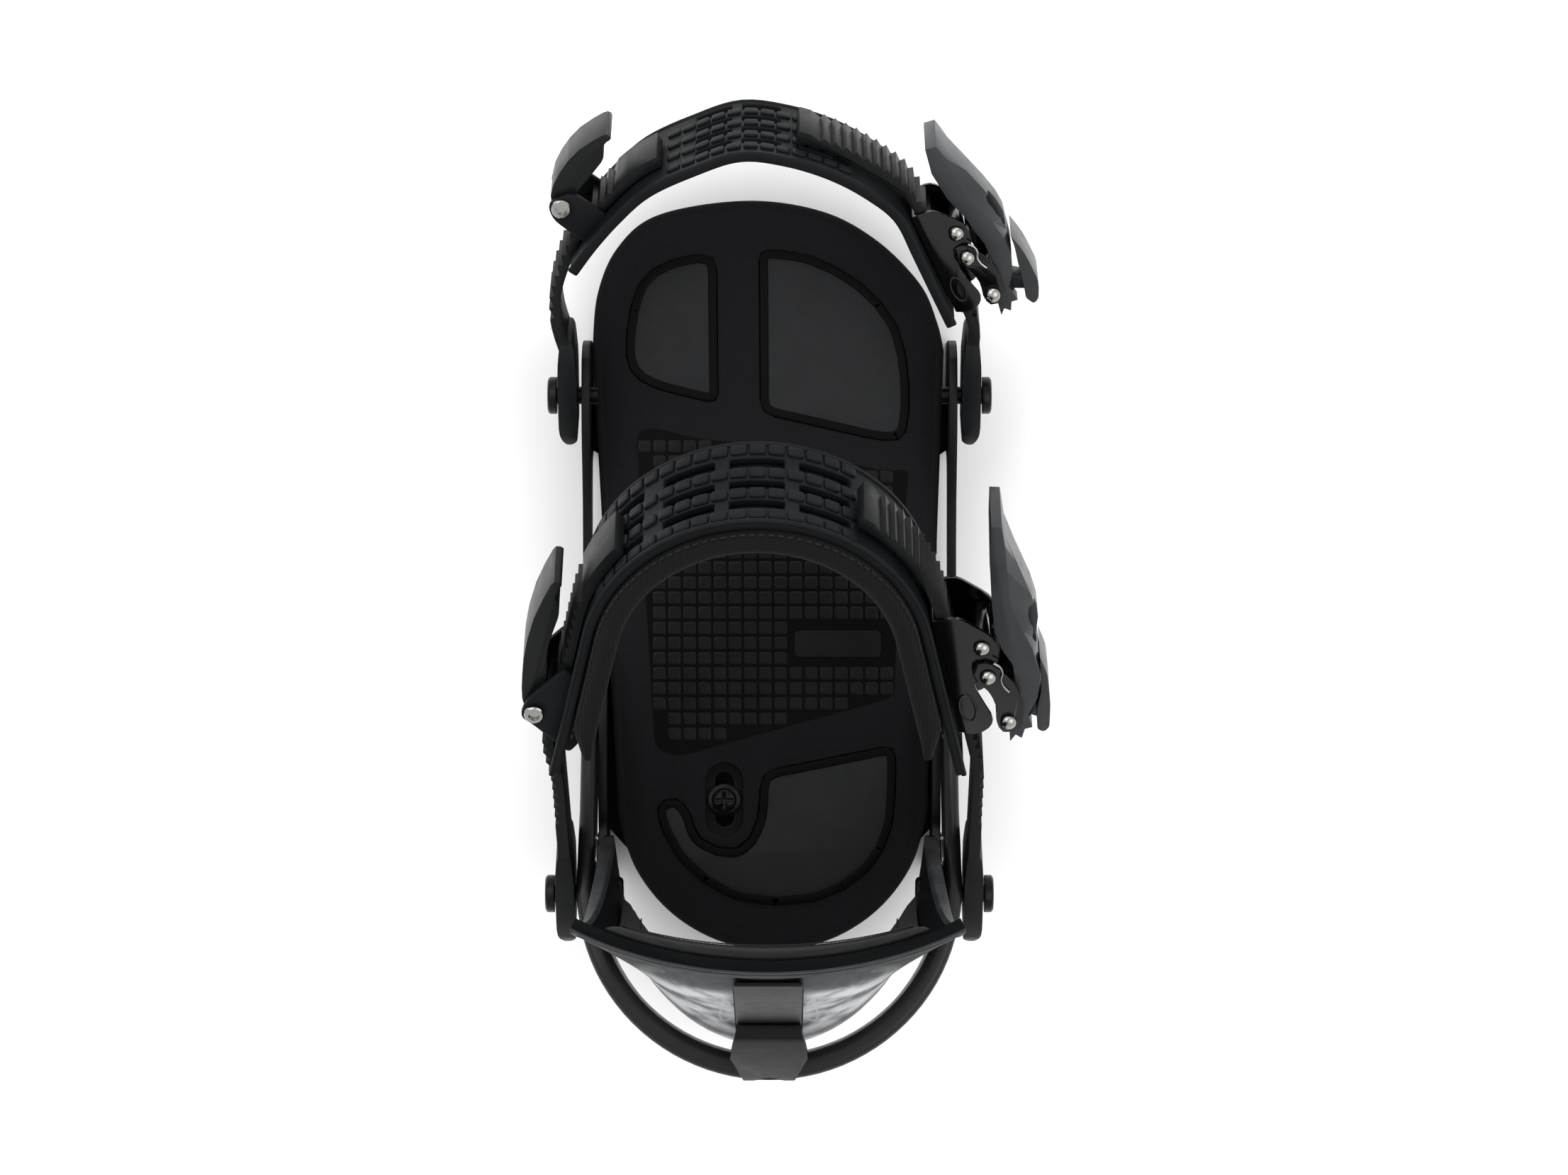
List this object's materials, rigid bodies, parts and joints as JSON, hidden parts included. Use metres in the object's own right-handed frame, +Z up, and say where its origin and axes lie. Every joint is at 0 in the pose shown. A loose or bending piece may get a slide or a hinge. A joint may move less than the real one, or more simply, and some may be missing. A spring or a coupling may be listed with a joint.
{
  "type": "snowboard binding",
  "caption": "Right-foot strap-in snowboard binding: baseplate with mounting disc, heel hoop, folding highback, and ankle and toe straps with ratchet buckles.",
  "frame": {"origin": "centre of the mounting disc on its underside, where the binding meets the board", "axes": "+Z up away from the board, +Y towards the toe, +X to the rider's right, which is the outer side of the right foot"},
  "size_m": [0.1631, 0.3106, 0.224],
  "materials": {
    "chassis_plastic": "black glass-filled nylon, satin",
    "disc_plastic": "black glass-filled nylon",
    "hoop_plastic": "smooth satin black",
    "bolt_steel": "black zinc, semi-gloss",
    "footbed_foam": "fine textured cover over foam, matt",
    "grip_rubber": "smooth moulded rubber, satin",
    "highback_print": "cloudy grey and white print, smooth",
    "liner_fabric": "woven black liner over foam, matt",
    "lean_plastic": "moulded, faceted, satin",
    "strap_rubber": "moulded rubber, satin",
    "ladder_plastic": "moulded nylon, satin",
    "buckle_steel": "black paint, high gloss",
    "rivet_nickel": "bright nickel",
    "lever_cast": "satin dark grey cast metal"
  },
  "bodies": {
    "base": {"baseplate": "chassis_plastic", "heel_hoop": "hoop_plastic", "hoop_screw_front_right": "bolt_steel", "hoop_screw_front_left": "bolt_steel", "hoop_screw_rear_right": "bolt_steel", "hoop_screw_rear_left": "bolt_steel", "footbed_washer": "bolt_steel", "footbed_screw": "bolt_steel", "highback_bolt_right": "bolt_steel", "highback_bolt_left": "bolt_steel", "pivot_spacer_right": "chassis_plastic", "pivot_spacer_left": "chassis_plastic", "ankle_bolt_right": "bolt_steel", "ankle_bolt_left": "bolt_steel", "toe_bolt_right": "bolt_steel", "toe_bolt_left": "bolt_steel"},
    "disc": {"mounting_disc": "disc_plastic"},
    "footbed_unit": {"footbed": "footbed_foam", "toe_pad_left": "grip_rubber", "toe_pad_right": "grip_rubber", "heel_pad": "grip_rubber"},
    "highback": {"highback_shell": "highback_print", "highback_pad": "liner_fabric", "lean_track": "lean_plastic"},
    "lean_stop": {"lean_block": "lean_plastic", "lean_screw": "bolt_steel"},
    "ankle_strap_unit": {"ankle_pad": "liner_fabric", "ankle_strap": "strap_rubber", "ankle_ladder_left": "ladder_plastic", "ankle_ladder_right": "ladder_plastic", "ankle_buckle_frame": "buckle_steel", "ankle_buckle_cheek_upper": "buckle_steel", "ankle_buckle_cheek_lower": "buckle_steel", "ankle_pawl_rivet": "rivet_nickel", "ankle_cheek_rivet": "rivet_nickel", "ankle_lever_rivet": "rivet_nickel", "ankle_adjuster_pin": "rivet_nickel"},
    "ankle_lever": {"ankle_buckle_lever": "lever_cast"},
    "ankle_tab": {"ankle_release_tab": "lever_cast"},
    "ankle_pawl": {"ankle_holding_pawl": "buckle_steel"},
    "ankle_adjuster": {"ankle_adjuster_lever": "ladder_plastic"},
    "toe_strap_unit": {"toe_strap": "strap_rubber", "toe_ladder_left": "ladder_plastic", "toe_ladder_right": "ladder_plastic", "toe_buckle_frame": "buckle_steel", "toe_buckle_cheek_upper": "buckle_steel", "toe_buckle_cheek_lower": "buckle_steel", "toe_pawl_rivet": "rivet_nickel", "toe_cheek_rivet": "rivet_nickel", "toe_lever_rivet": "rivet_nickel", "toe_adjuster_pin": "rivet_nickel"},
    "toe_lever": {"toe_buckle_lever": "lever_cast"},
    "toe_tab": {"toe_release_tab": "lever_cast"},
    "toe_pawl": {"toe_holding_pawl": "buckle_steel"},
    "toe_adjuster": {"toe_adjuster_lever": "ladder_plastic"}
  },
  "joints": [
    {"name": "disc_turn", "type": "hinge", "parent": "base", "child": "disc", "pos_m": [0, 0, 0], "axis": [0, 0, 1], "range_deg": [-90, 90]},
    {"name": "footbed_slide", "type": "slide", "parent": "base", "child": "footbed_unit", "axis": [0, 1, 0], "range_m": [-0.006, 0.006]},
    {"name": "highback_fold", "type": "hinge", "parent": "base", "child": "highback", "pos_m": [0, -0.088, 0.052], "axis": [-1, 0, 0], "range_deg": [0, 28]},
    {"name": "lean_slide", "type": "slide", "parent": "highback", "child": "lean_stop", "axis": [0, 0.2011, 0.9796], "range_m": [0, 0.02]},
    {"name": "ankle_swing", "type": "hinge", "parent": "base", "child": "ankle_strap_unit", "pos_m": [0, -0.088, 0.052], "axis": [-1, 0, 0], "range_deg": [-12, 20]},
    {"name": "toe_swing", "type": "hinge", "parent": "base", "child": "toe_strap_unit", "pos_m": [0, 0.0713, 0.035], "axis": [-1, 0, 0], "range_deg": [-40, 20]},
    {"name": "ankle_lever_pump", "type": "hinge", "parent": "ankle_strap_unit", "child": "ankle_lever", "pos_m": [0.0738, -0.02417, 0.09838], "axis": [0, 0.5878, -0.809], "range_deg": [0, 80]},
    {"name": "ankle_tab_press", "type": "hinge", "parent": "ankle_lever", "child": "ankle_tab", "pos_m": [0.0738, -0.02417, 0.09838], "axis": [0, 0.5878, -0.809], "range_deg": [0, 16], "stiffness_Nm_per_rad": 0.03, "springref_deg": -20.05},
    {"name": "ankle_pawl_lift", "type": "hinge", "parent": "ankle_strap_unit", "child": "ankle_pawl", "pos_m": [0.0651, -0.00234, 0.11423], "axis": [0, -0.5878, 0.809], "range_deg": [0, 16], "stiffness_Nm_per_rad": 0.03, "springref_deg": -20.05},
    {"name": "ankle_adjuster_open", "type": "hinge", "parent": "ankle_strap_unit", "child": "ankle_adjuster", "pos_m": [-0.0723, -0.02166, 0.1002], "axis": [0, -0.5878, 0.809], "range_deg": [0, 100]},
    {"name": "toe_lever_pump", "type": "hinge", "parent": "toe_strap_unit", "child": "toe_lever", "pos_m": [0.07061, 0.10817, 0.0546], "axis": [0, 0.4695, -0.8829], "range_deg": [0, 56]},
    {"name": "toe_tab_press", "type": "hinge", "parent": "toe_lever", "child": "toe_tab", "pos_m": [0.07061, 0.10817, 0.0546], "axis": [0, 0.4695, -0.8829], "range_deg": [0, 16], "stiffness_Nm_per_rad": 0.03, "springref_deg": -20.05},
    {"name": "toe_pawl_lift", "type": "hinge", "parent": "toe_strap_unit", "child": "toe_pawl", "pos_m": [0.05889, 0.12618, 0.06418], "axis": [0, -0.4695, 0.8829], "range_deg": [0, 16], "stiffness_Nm_per_rad": 0.03, "springref_deg": -20.05},
    {"name": "toe_adjuster_open", "type": "hinge", "parent": "toe_strap_unit", "child": "toe_adjuster", "pos_m": [-0.0652, 0.13452, 0.06861], "axis": [0, -0.4695, 0.8829], "range_deg": [0, 100]}
  ]
}
